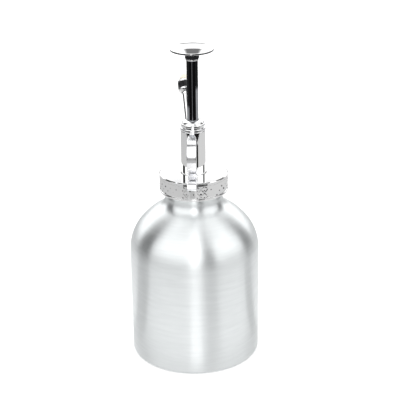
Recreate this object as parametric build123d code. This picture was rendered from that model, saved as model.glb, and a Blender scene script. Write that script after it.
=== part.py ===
from build123d import *
from math import asin, cos, radians, sin, sqrt
import os

# A thumb-operated plunger mister: an aluminium bottle, a knurled screw collar, and a piston pump
# that carries a finger hook on one side and an inclined spout with an adjustable nozzle on the other.
# Millimetres. +Z is up, the origin is at the centre of the foot, the finger hook points along -Y and
# the spout points along +Y, swung a little towards -X.

# ---------------------------------------------------------------- driving dimensions
BOTTLE_RADIUS = 37.5
NECK_RIM_Z = 106.8  # top of the open bottle
COLLAR_RADIUS = 19.5
COLLAR_BOTTOM_Z = 100.0
COLLAR_TOP_Z = 111.0
BARREL_RADIUS = 7.0
BARREL_SHOULDER_Z = 136.3  # the hook's eye sits here
ROD_RADIUS = 3.37
DISC_RADIUS = 12.0
DISC_RIM_Z = 182.95
SPOUT_CLIMB_DEG = 50.0
SPOUT_SWING_DEG = 8.0
SPOUT_ORIGIN_Z = 113.7  # where the spout's centreline meets the pump's centreline
GAP = 0.05  # between two pieces that stay together
RUNNING = 0.04  # radial, between two pieces that move past each other

# ---------------------------------------------------------------- bottle
WALL = 0.8
CYLINDER_TOP_Z = 63.8
SHOULDER_RADIUS = 26.7  # lower arc of the shoulder
SHOULDER_TURN_DEG = 40.0
CROWN_RADIUS = 43.0  # upper, flatter arc
NECK_RADIUS = 16.5
NECK_BORE = 14.9
NECK_FILLET = 4.0
NECK_INNER_FILLET = 4.8
THREAD_CORE = 15.8
THREAD_START_Z = 100.1
FOOT_CORNER = 1.5
FOOT_INNER_RADIUS = 29.5
FOOT_PUSH_UP = 3.0
PITCH = 3.0
THREAD_TURNS = 1.3

# ---------------------------------------------------------------- pump
BARREL_BORE = 6.0
BARREL_BOTTOM_Z = 84.2
LIP_Z = 134.0  # inner lip at the head of the pumping bore
LIP_BORE = 4.0
PACKING_BORE = 4.7
SPIGOT_RADIUS = 5.7
SPIGOT_TOP_Z = 140.0
FLANGE_RADIUS = 15.2
FLANGE_BOTTOM_Z = NECK_RIM_Z + 1.05
FLANGE_TOP_Z = 109.7
CYLINDER_RADIUS = 5.3
CYLINDER_BORE = 4.6
PORT_Z = 87.0
PORT_RADIUS = 0.8
FOOT_VALVE_FLOOR_Z = 84.15
PISTON_TOP_Z = 133.9
PISTON_BOTTOM_Z = 128.3
WIRE_RADIUS = 0.4
SPRING_RADIUS = 3.9
SPRING_COILS = 12

# ---------------------------------------------------------------- plunger head
ROD_TOP_Z = 176.5
STUD_RADIUS = 2.0
HUB_RADIUS = 3.9
HUB_BOTTOM_Z = 177.35
HUB_TOP_Z = 182.2
DISC_TOP_Z = 184.1

# ---------------------------------------------------------------- finger hook
HOOK_WIDTH = 5.2
HOOK_ROOT_WIDTH = 2.3
HOOK_TAPER_END = 16.5  # distance from the pump's axis where the strip reaches its full width
HOOK_THICKNESS = 1.1
HOOK_CROWN = 0.4  # the outer face bulges by this much
HOOK_ARM_Z = 137.1
HOOK_ARM_END = 13.0
HOOK_LOOP_RADIUS = 10.6
HOOK_CURL_RADIUS = 1.55
HOOK_CURL_CENTRE = 11.5
HOOK_TAIL_BEND = 19.6
HOOK_TAIL_RADIUS = 10.0
HOOK_TAIL_TURN_DEG = 44.0
HOOK_SWING_DEG = -2.3  # the hook is clamped a little off the spout's plane
EYE_RADIUS = 7.15

# ---------------------------------------------------------------- spout, measured along its centreline
BOSS_RADIUS = 3.4
BOSS_END = 17.0
SPOUT_SPIGOT_RADIUS = 2.7
SPOUT_SPIGOT_END = 20.4
VALVE_SEAT = 14.0
VALVE_SEAT_BORE = 0.9
VALVE_CHAMBER = 1.6
OUTLET_BALL_RADIUS = 1.35
TUBE_RADIUS = 1.9
TUBE_BORE = 1.2
TUBE_END = 48.15
NOZZLE_START = 44.7  # the dimensions of the nozzle's pieces count from here
NOZZLE_RADIUS = 4.3
INLET_BALL_RADIUS = 1.9
INLET_BALL_Z = 79.6

SPOUT_DIRECTION = (
    -cos(radians(SPOUT_CLIMB_DEG)) * sin(radians(SPOUT_SWING_DEG)),
    cos(radians(SPOUT_CLIMB_DEG)) * cos(radians(SPOUT_SWING_DEG)),
    sin(radians(SPOUT_CLIMB_DEG)),
)
SPOUT_FRAME = Plane(origin=(0, 0, SPOUT_ORIGIN_Z), z_dir=SPOUT_DIRECTION)


def lathe(*points):
    """A solid turned about Z from a closed outline of (radius, height) points."""
    outline = Polyline(*[(r, 0, z) for r, z in points], close=True)
    return revolve(make_face(outline), Axis.Z)


def ring(inner, outer, low, high):
    """A plain turned ring."""
    return lathe((inner, low), (outer, low), (outer, high), (inner, high))


def rod(radius, low, high):
    """A plain round bar along Z."""
    return Pos(0, 0, low) * extrude(Circle(radius), high - low)


def on_spout(shape):
    """Places a shape made along Z on the spout's centreline."""
    return SPOUT_FRAME.location * shape


def dome(radius, edge_z, crown_z):
    """Edge of a spherical dome, from the crown on the axis out to the given radius."""
    drop = crown_z - edge_z
    sphere = (radius**2 + drop**2) / (2 * drop)
    half_turn = asin(radius / sphere) / 2
    middle = (sphere * sin(half_turn), 0, crown_z - sphere * (1 - cos(half_turn)))
    return ThreePointArc((0, 0, crown_z), middle, (radius, 0, edge_z))


def on_nozzle(shape):
    """Places a shape made along Z at the start of the nozzle."""
    return on_spout(Pos(0, 0, NOZZLE_START) * shape)


def helical_ridge(radius, depth, low, turns):
    """A thread ridge that stands out from a cylinder; a negative depth stands inwards."""
    path = Helix(PITCH, PITCH * turns, radius, center=(0, 0, low))
    root = 0.15 if depth > 0 else -0.15
    section = Polyline(
        (radius - root, 0, low - 0.85),
        (radius + depth, 0, low - 0.25),
        (radius + depth, 0, low + 0.25),
        (radius - root, 0, low + 0.85),
        close=True,
    )
    return sweep(make_face(section), path=path, is_frenet=True)


# ---------------------------------------------------------------- bottle
def shoulder_points(wall, neck, fillet):
    """Joints and mid points of the shoulder's three arcs, from the cylinder up to the neck."""
    turn = radians(SHOULDER_TURN_DEG)
    low_r, low_z = BOTTLE_RADIUS - SHOULDER_RADIUS, CYLINDER_TOP_Z
    crown_r = low_r + (SHOULDER_RADIUS - CROWN_RADIUS) * cos(turn)
    crown_z = low_z + (SHOULDER_RADIUS - CROWN_RADIUS) * sin(turn)
    low_arc, crown_arc = SHOULDER_RADIUS - wall, CROWN_RADIUS - wall
    fillet_r = neck + fillet
    fillet_z = crown_z + sqrt((crown_arc + fillet) ** 2 - (fillet_r - crown_r) ** 2)
    share = crown_arc / (crown_arc + fillet)
    touch_r = crown_r + share * (fillet_r - crown_r)
    touch_z = crown_z + share * (fillet_z - crown_z)
    return {
        "start": (low_r + low_arc, low_z),
        "low_mid": (low_r + low_arc * cos(turn / 2), low_z + low_arc * sin(turn / 2)),
        "join": (low_r + low_arc * cos(turn), low_z + low_arc * sin(turn)),
        "crown_centre": (crown_r, crown_z),
        "crown_arc": crown_arc,
        "touch": (touch_r, touch_z),
        "fillet_centre": (fillet_r, fillet_z),
        "neck": (neck, fillet_z),
    }


def flat_point(point):
    """A (radius, height) pair as a point in the XZ plane."""
    return (point[0], 0, point[1])


def shoulder_edges(s, fillet):
    """The shoulder's arcs as edges, upwards."""
    mid_r = (s["join"][0] + s["touch"][0]) / 2
    centre_r, centre_z = s["crown_centre"]
    crown_mid = (mid_r, centre_z + sqrt(s["crown_arc"] ** 2 - (mid_r - centre_r) ** 2))
    fillet_r, fillet_z = s["fillet_centre"]
    bend_r, bend_z = s["touch"][0] + s["neck"][0] - 2 * fillet_r, s["touch"][1] + s["neck"][1] - 2 * fillet_z
    bend = fillet / sqrt(bend_r**2 + bend_z**2)
    fillet_mid = (fillet_r + bend_r * bend, fillet_z + bend_z * bend)
    return [
        ThreePointArc(flat_point(s["start"]), flat_point(s["low_mid"]), flat_point(s["join"])),
        ThreePointArc(flat_point(s["join"]), flat_point(crown_mid), flat_point(s["touch"])),
        ThreePointArc(flat_point(s["touch"]), flat_point(fillet_mid), flat_point(s["neck"])),
    ]


def bottle_shell():
    """The spun bottle: pushed-up base, straight wall, two-arc shoulder, threaded neck."""
    outer = shoulder_points(0, NECK_RADIUS, NECK_FILLET)
    inner = shoulder_points(WALL, NECK_BORE, NECK_INNER_FILLET)
    corner = FOOT_CORNER * (1 - cos(radians(45)))
    inside_radius, inside_corner = BOTTLE_RADIUS - WALL, FOOT_CORNER + 0.7
    bend = inside_corner * (1 - cos(radians(45)))
    floor = FOOT_PUSH_UP + WALL
    base = [
        dome(FOOT_INNER_RADIUS, 0, FOOT_PUSH_UP),
        Line((FOOT_INNER_RADIUS, 0, 0), (BOTTLE_RADIUS - FOOT_CORNER, 0, 0)),
        ThreePointArc(
            (BOTTLE_RADIUS - FOOT_CORNER, 0, 0),
            (BOTTLE_RADIUS - corner, 0, corner),
            (BOTTLE_RADIUS, 0, FOOT_CORNER),
        ),
        Line((BOTTLE_RADIUS, 0, FOOT_CORNER), flat_point(outer["start"])),
    ]
    mouth = Polyline(
        flat_point(outer["neck"]),
        (NECK_RADIUS, 0, THREAD_START_Z - 0.7),
        (THREAD_CORE, 0, THREAD_START_Z),
        (THREAD_CORE, 0, NECK_RIM_Z - 0.4),
        (THREAD_CORE - 0.4, 0, NECK_RIM_Z),
        (NECK_BORE, 0, NECK_RIM_Z),
        flat_point(inner["neck"]),
    )
    inside = [
        Line(flat_point(inner["start"]), (inside_radius, 0, WALL + inside_corner)),
        ThreePointArc(
            (inside_radius, 0, WALL + inside_corner),
            (inside_radius - bend, 0, WALL + bend),
            (inside_radius - inside_corner, 0, WALL),
        ),
        Line((inside_radius - inside_corner, 0, WALL), (FOOT_INNER_RADIUS, 0, WALL)),
        dome(FOOT_INNER_RADIUS, WALL, floor),
        Line((0, 0, floor), (0, 0, FOOT_PUSH_UP)),
    ]
    outer_shoulder = shoulder_edges(outer, NECK_FILLET)
    inner_shoulder = shoulder_edges(inner, NECK_INNER_FILLET)
    edges = [*base, *outer_shoulder, mouth, *inner_shoulder, *inside]
    shell = revolve(make_face(Wire(Curve() + edges)), Axis.Z)
    ridge = helical_ridge(THREAD_CORE, NECK_RADIUS - THREAD_CORE, THREAD_START_Z + 1.1, THREAD_TURNS)
    return shell + ridge


def neck_gasket():
    """Rubber washer between the bottle's rim and the pump's flange."""
    return ring(8.2, FLANGE_RADIUS, NECK_RIM_Z + 0.02, FLANGE_BOTTOM_Z - 0.02)


# ---------------------------------------------------------------- collar
def collar_shell():
    """Plated collar: knurled band, rolled bottom bead, flat top with a hole for the barrel."""
    edge = 0.9
    return lathe(
        (BARREL_RADIUS + 0.3, COLLAR_TOP_Z - 1.0),
        (18.6, COLLAR_TOP_Z - 1.0),
        (18.6, COLLAR_BOTTOM_Z),
        (19.2, COLLAR_BOTTOM_Z),
        (19.5, COLLAR_BOTTOM_Z + 0.4),
        (19.5, COLLAR_BOTTOM_Z + 1.1),
        (19.05, COLLAR_BOTTOM_Z + 1.5),
        (19.05, COLLAR_BOTTOM_Z + 1.9),
        (COLLAR_RADIUS, COLLAR_BOTTOM_Z + 2.2),
        (COLLAR_RADIUS, COLLAR_TOP_Z - edge),
        (COLLAR_RADIUS - 0.3 * edge, COLLAR_TOP_Z - 0.3 * edge),
        (COLLAR_RADIUS - edge, COLLAR_TOP_Z),
        (BARREL_RADIUS + 0.3, COLLAR_TOP_Z),
    )


def collar_liner():
    """Plastic insert pressed into the collar; it carries the female thread."""
    root = 17.3
    liner = ring(root, 18.55, COLLAR_BOTTOM_Z + 0.5, COLLAR_TOP_Z - 1.05)
    ridge = helical_ridge(root, NECK_RADIUS + 0.12 - root, THREAD_START_Z + 2.6, THREAD_TURNS)
    return liner + ridge


def slip_washer():
    """Thin washer that lets the collar turn on the pump's flange."""
    return ring(BARREL_RADIUS + 0.4, FLANGE_RADIUS - 0.4, FLANGE_TOP_Z + 0.02, COLLAR_TOP_Z - 1.04)


# ---------------------------------------------------------------- pump head
def pump_barrel():
    """Outer tube with the flange that the collar clamps and the boss that holds the outlet valve."""
    tube = lathe(
        (BARREL_BORE, BARREL_BOTTOM_Z),
        (BARREL_RADIUS, BARREL_BOTTOM_Z),
        (BARREL_RADIUS, FLANGE_BOTTOM_Z),
        (FLANGE_RADIUS, FLANGE_BOTTOM_Z),
        (FLANGE_RADIUS, FLANGE_TOP_Z),
        (BARREL_RADIUS, FLANGE_TOP_Z),
        (BARREL_RADIUS, BARREL_SHOULDER_Z),
        (SPIGOT_RADIUS, BARREL_SHOULDER_Z),
        (SPIGOT_RADIUS, SPIGOT_TOP_Z),
        (PACKING_BORE, SPIGOT_TOP_Z),
        (PACKING_BORE, LIP_Z + 0.4),
        (LIP_BORE, LIP_Z + 0.4),
        (LIP_BORE, LIP_Z),
        (BARREL_BORE, LIP_Z),
    )
    boss = on_spout(rod(BOSS_RADIUS, 8.0, BOSS_END) + rod(SPOUT_SPIGOT_RADIUS, 8.0, SPOUT_SPIGOT_END))
    boss -= rod(BARREL_BORE + 0.3, FLANGE_TOP_Z, BARREL_SHOULDER_Z)
    duct = rod(VALVE_SEAT_BORE, 8.5, VALVE_SEAT + 0.5)
    chamber = rod(VALVE_CHAMBER, VALVE_SEAT, SPOUT_SPIGOT_END + 1)
    return tube + boss - on_spout(duct + chamber)


def pump_cylinder():
    """Inner sleeve that the piston runs in; ports at its foot lead to the gap inside the barrel."""
    sleeve = ring(CYLINDER_BORE, CYLINDER_RADIUS, BARREL_BOTTOM_Z, LIP_Z - GAP)
    across = extrude(Circle(PORT_RADIUS), 2 * CYLINDER_RADIUS, both=True)
    sleeve -= Pos(0, 0, PORT_Z) * Rot(90, 0, 0) * across
    return sleeve - Pos(0, 0, PORT_Z) * Rot(0, 90, 0) * across


def gland_nut():
    """Stepped, domed nut that closes the barrel and clamps the hook's eye."""
    low = BARREL_SHOULDER_Z + 1.7
    bore = SPIGOT_RADIUS + GAP
    hole = ROD_RADIUS + 0.13
    return lathe(
        (bore, low),
        (6.35, low),
        (6.35, low + 0.8),
        (6.6, low + 0.95),
        (6.8, low + 1.3),
        (6.8, low + 1.9),
        (6.6, low + 2.25),
        (6.2, low + 2.45),
        (6.0, low + 2.8),
        (5.55, low + 3.3),
        (4.7, low + 3.75),
        (3.9, low + 4.0),
        (3.75, low + 4.2),
        (hole, low + 4.2),
        (hole, SPIGOT_TOP_Z + GAP),
        (bore, SPIGOT_TOP_Z + GAP),
    )


def rod_bush():
    """Plastic guide bush for the rod."""
    return ring(ROD_RADIUS + RUNNING, PACKING_BORE - GAP, LIP_Z + 2.2, SPIGOT_TOP_Z)


def rod_packing():
    """Rubber packing ring under the bush."""
    return ring(ROD_RADIUS + RUNNING, PACKING_BORE - GAP, LIP_Z + 0.42, LIP_Z + 2.15)


def hook_path():
    """Centreline of the hook's strip as (distance from the pump's axis, height) edges."""
    loop_z = HOOK_ARM_Z - HOOK_LOOP_RADIUS
    curl_top = loop_z - HOOK_LOOP_RADIUS
    curl_z = curl_top - HOOK_CURL_RADIUS
    tail_z = curl_z - HOOK_CURL_RADIUS
    turn = radians(HOOK_TAIL_TURN_DEG)
    stops = {
        "root": (EYE_RADIUS - 0.7, HOOK_ARM_Z),
        "arm": (HOOK_ARM_END, HOOK_ARM_Z),
        "far": (HOOK_ARM_END + HOOK_LOOP_RADIUS, loop_z),
        "under": (HOOK_ARM_END, curl_top),
        "curl_in": (HOOK_CURL_CENTRE, curl_top),
        "curl_mid": (HOOK_CURL_CENTRE - HOOK_CURL_RADIUS, curl_z),
        "curl_out": (HOOK_CURL_CENTRE, tail_z),
        "tail": (HOOK_TAIL_BEND, tail_z),
        "tail_mid": (
            HOOK_TAIL_BEND + HOOK_TAIL_RADIUS * sin(turn / 2),
            tail_z - HOOK_TAIL_RADIUS * (1 - cos(turn / 2)),
        ),
        "tip": (HOOK_TAIL_BEND + HOOK_TAIL_RADIUS * sin(turn), tail_z - HOOK_TAIL_RADIUS * (1 - cos(turn))),
    }
    p = {name: (0, -away, z) for name, (away, z) in stops.items()}
    return Wire(
        Curve()
        + [
            Line(p["root"], p["arm"]),
            ThreePointArc(p["arm"], p["far"], p["under"]),
            Line(p["under"], p["curl_in"]),
            ThreePointArc(p["curl_in"], p["curl_mid"], p["curl_out"]),
            Line(p["curl_out"], p["tail"]),
            ThreePointArc(p["tail"], p["tail_mid"], p["tip"]),
        ]
    )


def finger_hook():
    """Bent strip with a crowned outer face and a narrower root, and the eye that the gland nut clamps."""
    half, low, high = HOOK_WIDTH / 2, -HOOK_THICKNESS / 2, HOOK_THICKNESS / 2
    start_y = -(EYE_RADIUS - 0.7)
    corners = [(-half, start_y, HOOK_ARM_Z + low), (half, start_y, HOOK_ARM_Z + low)]
    crown = (0, start_y, HOOK_ARM_Z + high + HOOK_CROWN)
    edges = [
        Line(corners[0], corners[1]),
        Line(corners[1], (half, start_y, HOOK_ARM_Z + high)),
        ThreePointArc((half, start_y, HOOK_ARM_Z + high), crown, (-half, start_y, HOOK_ARM_Z + high)),
        Line((-half, start_y, HOOK_ARM_Z + high), corners[0]),
    ]
    strip = sweep(make_face(Wire(Curve() + edges)), path=hook_path())
    for side in (-1, 1):
        wedge = Polyline(
            (side * HOOK_ROOT_WIDTH / 2, start_y + 0.5),
            (side * half, -HOOK_TAPER_END),
            (side * (half + 1), -HOOK_TAPER_END),
            (side * (half + 1), start_y + 0.5),
            close=True,
        )
        strip -= Pos(0, 0, HOOK_ARM_Z - 3) * extrude(make_face(wedge), amount=6, dir=(0, 0, 1))
    eye = ring(SPIGOT_RADIUS + GAP, EYE_RADIUS, BARREL_SHOULDER_Z + 0.02, BARREL_SHOULDER_Z + 1.65)
    return Rot(0, 0, HOOK_SWING_DEG) * (eye + strip)


# ---------------------------------------------------------------- inlet side
def foot_valve_body():
    """Cup screwed on the barrel's foot, with the inlet seat and the nipple for the dip tube."""
    cup = BARREL_RADIUS + GAP
    return lathe(
        (1.2, 68.0),
        (2.3, 68.0),
        (2.55, 68.6),
        (2.55, 76.0),
        (3.6, 76.0),
        (3.6, 77.4),
        (7.9, 81.0),
        (7.9, 90.0),
        (cup, 90.0),
        (cup, FOOT_VALVE_FLOOR_Z),
        (CYLINDER_BORE + 0.06, FOOT_VALVE_FLOOR_Z),
        (CYLINDER_BORE + 0.06, 83.2),
        (2.6, 83.2),
        (2.6, 79.5),
        (1.2, 78.1),
    )


def inlet_ball_cage():
    """Drilled disc that keeps the inlet ball down and seats the spring."""
    disc = rod(CYLINDER_BORE, 83.22, 84.1) - rod(0.7, 83, 85)
    for turn in range(0, 360, 90):
        disc -= Rot(0, 0, turn) * Pos(2.7, 0, 0) * rod(0.8, 83, 85)
    return disc


def inlet_ball():
    """Check ball of the inlet valve."""
    return Pos(0, 0, INLET_BALL_Z) * Sphere(INLET_BALL_RADIUS)


def dip_tube():
    """Plastic tube down to the bottle's floor."""
    return ring(2.6, 3.1, 10.0, 75.9)


def strainer():
    """Slotted cup over the end of the dip tube."""
    cup = lathe(
        (0, 5.6),
        (4.0, 5.6),
        (4.4, 6.0),
        (4.4, 15.6),
        (4.1, 16.2),
        (3.15, 16.2),
        (3.15, 6.8),
        (0, 6.8),
    )
    slot = Box(12, 0.9, 2.6)
    for turn in range(0, 180, 30):
        cup -= Pos(0, 0, 8.3) * Rot(0, 0, turn) * slot
    return cup


# ---------------------------------------------------------------- spout
def outlet_ball():
    """Check ball of the outlet valve."""
    rest = VALVE_SEAT + sqrt(OUTLET_BALL_RADIUS**2 - VALVE_SEAT_BORE**2) + 0.02
    return on_spout(Pos(0, 0, rest) * Sphere(OUTLET_BALL_RADIUS))


def spout_nut():
    """Hexagonal union nut that draws the spout tube onto the boss."""
    low, high, across_flats = BOSS_END + 0.1, 23.3, 7.6
    hexagon = Pos(0, 0, low) * extrude(RegularPolygon(across_flats / 2, 6, major_radius=False), high - low)
    corner = across_flats / 2 / cos(radians(30))
    turned = lathe(
        (0, low),
        (corner - 0.3, low),
        (corner, low + 0.3),
        (corner, high - 0.7),
        (corner - 0.7, high),
        (0, high),
    )
    bores = rod(SPOUT_SPIGOT_RADIUS + GAP, low - 1, 21.35) + rod(TUBE_RADIUS + GAP, low, high + 1)
    return on_spout((hexagon & turned) - bores)


def spout_tube():
    """Slender tube with a flared foot."""
    foot = SPOUT_SPIGOT_END + GAP
    return on_spout(
        lathe(
            (TUBE_BORE, foot),
            (SPOUT_SPIGOT_RADIUS - 0.05, foot),
            (SPOUT_SPIGOT_RADIUS - 0.05, foot + 0.8),
            (TUBE_RADIUS, foot + 0.8),
            (TUBE_RADIUS, TUBE_END),
            (TUBE_BORE, TUBE_END),
        )
    )


def nozzle_body():
    """Flared sleeve at the spout's end, with the spigot that the nozzle cap turns on."""
    seat = TUBE_RADIUS + 0.03
    return on_nozzle(
        lathe(
            (seat, 0),
            (2.35, 0),
            (2.9, 1.1),
            (3.6, 2.2),
            (4.0, 3.1),
            (4.0, 3.5),
            (2.6, 3.5),
            (2.6, 4.7),
            (2.2, 4.7),
            (2.2, 5.7),
            (2.6, 5.7),
            (2.6, 7.1),
            (1.0, 7.1),
            (1.0, 3.5),
            (seat, 3.5),
        )
    )


def nozzle_o_ring():
    """Seal between the nozzle's spigot and its cap."""
    return on_nozzle(Pos(0, 0, 5.2) * Torus(2.44, 0.22))


def swirl_core():
    """Grooved plug that spins the water ahead of the orifice."""
    core = rod(0.95, 3.7, 6.9)
    for turn in range(0, 360, 90):
        core -= Rot(0, 0, turn) * Pos(0.95, 0, 5.3) * Box(0.7, 0.45, 4)
    return on_nozzle(core)


def nozzle_cap():
    """Fluted cap that is turned by hand to set the spray."""
    bore = 2.7
    cap = lathe(
        (bore, 3.6),
        (NOZZLE_RADIUS - 0.3, 3.6),
        (NOZZLE_RADIUS, 3.9),
        (NOZZLE_RADIUS, 8.0),
        (NOZZLE_RADIUS - 0.5, 8.7),
        (1.6, 8.7),
        (1.6, 7.4),
        (bore, 7.4),
    )
    flute_count = 16
    for turn in range(flute_count):
        cap -= Rot(0, 0, 360 / flute_count * turn) * Pos(NOZZLE_RADIUS + 0.25, 0, 0) * rod(0.5, 4.1, 7.8)
    return on_nozzle(cap)


def nozzle_tip():
    """Brass orifice cone pressed into the cap."""
    return on_nozzle(
        lathe(
            (0.8, 7.45),
            (1.57, 7.45),
            (1.57, 8.72),
            (3.1, 8.72),
            (3.1, 9.3),
            (1.7, 12.0),
            (1.2, 12.5),
            (0.55, 12.5),
            (0.25, 12.1),
            (0.25, 11.1),
            (0.8, 10.5),
        )
    )


# ---------------------------------------------------------------- plunger
def thumb_disc():
    """Thin domed disc for the thumb, with a blind hole for the rod's stud."""
    underside = HUB_TOP_Z + 0.02
    bore = STUD_RADIUS + GAP
    outline = [
        Line((0, 0, 183.1), (bore, 0, 183.1)),
        Line((bore, 0, 183.1), (bore, 0, underside)),
        Line((bore, 0, underside), (HUB_RADIUS, 0, underside)),
        Line((HUB_RADIUS, 0, underside), (DISC_RADIUS - 0.25, 0, underside - 0.07)),
        Line((DISC_RADIUS - 0.25, 0, underside - 0.07), (DISC_RADIUS, 0, underside + 0.18)),
        Line((DISC_RADIUS, 0, underside + 0.18), (DISC_RADIUS, 0, DISC_RIM_Z)),
        Line((DISC_RADIUS, 0, DISC_RIM_Z), (DISC_RADIUS - 0.2, 0, DISC_RIM_Z + 0.12)),
        dome(DISC_RADIUS - 0.2, DISC_RIM_Z + 0.12, DISC_TOP_Z),
        Line((0, 0, DISC_TOP_Z), (0, 0, 183.1)),
    ]
    return revolve(make_face(Wire(Curve() + outline)), Axis.Z)


def button_hub():
    """Collar nut that locks the disc to the rod's stud."""
    bore = STUD_RADIUS + GAP
    return lathe(
        (bore, HUB_BOTTOM_Z),
        (HUB_RADIUS - 0.3, HUB_BOTTOM_Z),
        (HUB_RADIUS, HUB_BOTTOM_Z + 0.3),
        (HUB_RADIUS, HUB_TOP_Z),
        (bore, HUB_TOP_Z),
    )


def stem_washer():
    """Bright washer between the rod's shoulder and the hub."""
    return ring(STUD_RADIUS + GAP, ROD_RADIUS + 0.28, ROD_TOP_Z + 0.02, HUB_BOTTOM_Z - 0.02)


def plunger_rod():
    """Dark polished rod with a stud at its top and a tapped hole at its foot."""
    bar = lathe(
        (0, PISTON_TOP_Z + GAP),
        (ROD_RADIUS, PISTON_TOP_Z + GAP),
        (ROD_RADIUS, ROD_TOP_Z),
        (STUD_RADIUS, ROD_TOP_Z),
        (STUD_RADIUS, 183.0),
        (0, 183.0),
    )
    return bar - rod(1.5, 120, 143)


def piston():
    """Piston with a groove for its seal."""
    return lathe(
        (1.55, PISTON_BOTTOM_Z),
        (4.3, PISTON_BOTTOM_Z),
        (4.5, PISTON_BOTTOM_Z + 0.3),
        (4.5, 130.0),
        (3.3, 130.0),
        (3.3, 132.0),
        (4.5, 132.0),
        (4.5, PISTON_TOP_Z),
        (1.55, PISTON_TOP_Z),
    )


def piston_seal():
    """Rubber ring in the piston's groove."""
    return ring(3.33, CYLINDER_BORE - RUNNING, 130.03, 131.97)


def piston_screw():
    """Screw that holds the piston on the rod."""
    head = rod(2.5, PISTON_BOTTOM_Z - 1.5, PISTON_BOTTOM_Z - 0.02)
    slot = Pos(0, 0, PISTON_BOTTOM_Z - 1.5) * Box(6, 0.7, 1.2)
    return head + rod(1.45, PISTON_BOTTOM_Z - 0.5, 142) - slot


def return_spring():
    """Compression spring between the ball cage and the piston."""
    low = FOOT_VALVE_FLOOR_Z + WIRE_RADIUS
    height = PISTON_BOTTOM_Z - WIRE_RADIUS - 0.02 - low
    path = Helix(height / SPRING_COILS, height, SPRING_RADIUS, center=(0, 0, low))
    section = Plane(origin=path @ 0, z_dir=path % 0) * Circle(WIRE_RADIUS)
    return sweep(section, path=path, is_frenet=True)


SUB_PARTS = [
    bottle_shell,
    neck_gasket,
    collar_shell,
    collar_liner,
    slip_washer,
    pump_barrel,
    pump_cylinder,
    gland_nut,
    rod_bush,
    rod_packing,
    finger_hook,
    foot_valve_body,
    inlet_ball_cage,
    inlet_ball,
    dip_tube,
    strainer,
    outlet_ball,
    spout_nut,
    spout_tube,
    nozzle_body,
    nozzle_o_ring,
    swirl_core,
    nozzle_cap,
    nozzle_tip,
    thumb_disc,
    button_hub,
    stem_washer,
    plunger_rod,
    piston,
    piston_seal,
    piston_screw,
    return_spring,
]

os.makedirs("parts", exist_ok=True)
for make in SUB_PARTS:
    export_step(make(), f"parts/{make.__name__}.step")
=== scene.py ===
import logging
import math
from collections.abc import Callable, Sequence
from dataclasses import dataclass
from enum import Enum

import bmesh
import bpy
from mathutils import Matrix, Vector


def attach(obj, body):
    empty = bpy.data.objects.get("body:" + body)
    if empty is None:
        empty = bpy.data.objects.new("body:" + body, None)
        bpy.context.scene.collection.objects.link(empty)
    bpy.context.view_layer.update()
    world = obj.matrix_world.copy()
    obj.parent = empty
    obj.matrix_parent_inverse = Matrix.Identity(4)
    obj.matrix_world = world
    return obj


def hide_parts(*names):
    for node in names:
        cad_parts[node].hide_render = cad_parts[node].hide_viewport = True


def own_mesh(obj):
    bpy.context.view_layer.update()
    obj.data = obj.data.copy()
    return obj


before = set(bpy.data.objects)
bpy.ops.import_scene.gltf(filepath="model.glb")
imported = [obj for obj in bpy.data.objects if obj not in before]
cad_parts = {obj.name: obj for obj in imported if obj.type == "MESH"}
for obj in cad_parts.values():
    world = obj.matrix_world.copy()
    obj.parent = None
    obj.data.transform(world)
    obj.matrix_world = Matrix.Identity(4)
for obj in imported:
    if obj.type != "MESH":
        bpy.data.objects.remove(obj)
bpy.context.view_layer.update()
LOG = logging.getLogger("mister")
MM = 0.001
FLOAT = "NodeSocketFloat"
VECTOR = "NodeSocketVector"

Outline = Sequence[tuple[float, ...]]
Mesh = bmesh.types.BMesh
Material = bpy.types.Material
Tree = bpy.types.NodeTree
Node = bpy.types.Node
Socket = bpy.types.NodeSocket


class Body(Enum):
    """The rigid bodies that pieces ride on."""

    VESSEL = "vessel"
    PUMP = "pump"
    COLLAR = "collar"
    PLUNGER = "plunger"
    NOZZLE = "nozzle"


# --- node trees
class Wiring:
    """Adds and joins the nodes of one tree. A node given as a value stands for its first output."""

    def __init__(self, tree: Tree) -> None:
        """Keeps the tree."""
        self.tree = tree

    def add(self, kind: str, inputs: dict | None = None, **settings: object) -> Node:
        """Adds a node.

        Args:
            kind: the node's type name.
            inputs: socket name or index to a value, an output socket or a node.
            settings: the node's own properties.

        Returns:
            The new node.
        """
        node = self.tree.nodes.new(kind)
        for key, value in settings.items():
            setattr(node, key, value)
        for key, value in (inputs or {}).items():
            if isinstance(value, (Node, Socket)):
                self.link(value, node.inputs[key])
            else:
                node.inputs[key].default_value = value
        return node

    def link(self, source: Node | Socket, target: Socket) -> None:
        """Joins an output to an input."""
        self.tree.links.new(source.outputs[0] if isinstance(source, Node) else source, target)

    def math(self, operation: str, *values: object) -> Socket:
        """The output of a Math node that works on numbers, sockets or nodes."""
        return self.add("ShaderNodeMath", dict(enumerate(values)), operation=operation).outputs[0]

    def times(self, *values: object) -> Socket:
        """The product of two values."""
        return self.math("MULTIPLY", *values)

    def vector(self, x: object = 0.0, y: object = 0.0, z: object = 0.0) -> Socket:
        """Three numbers joined into a vector."""
        return self.add("ShaderNodeCombineXYZ", {0: x, 1: y, 2: z}).outputs[0]

    def noise(self, where: object, scale: object, detail: float, roughness: float = 0.5) -> Node:
        """Noise at a place."""
        sockets = {"Vector": where, "Scale": scale, "Detail": detail, "Roughness": roughness}
        return self.add("ShaderNodeTexNoise", sockets)

    def group(self, tree: Tree, inputs: dict) -> object:
        """The outputs of a shader group."""
        return self.add("ShaderNodeGroup", inputs, node_tree=tree).outputs

    def spread(self, value: object, low: object, high: object) -> Socket:
        """A value from 0..1 mapped to low..high."""
        node = self.add("ShaderNodeMapRange", {"Value": value, "To Min": low, "To Max": high})
        return node.outputs["Result"]


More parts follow.
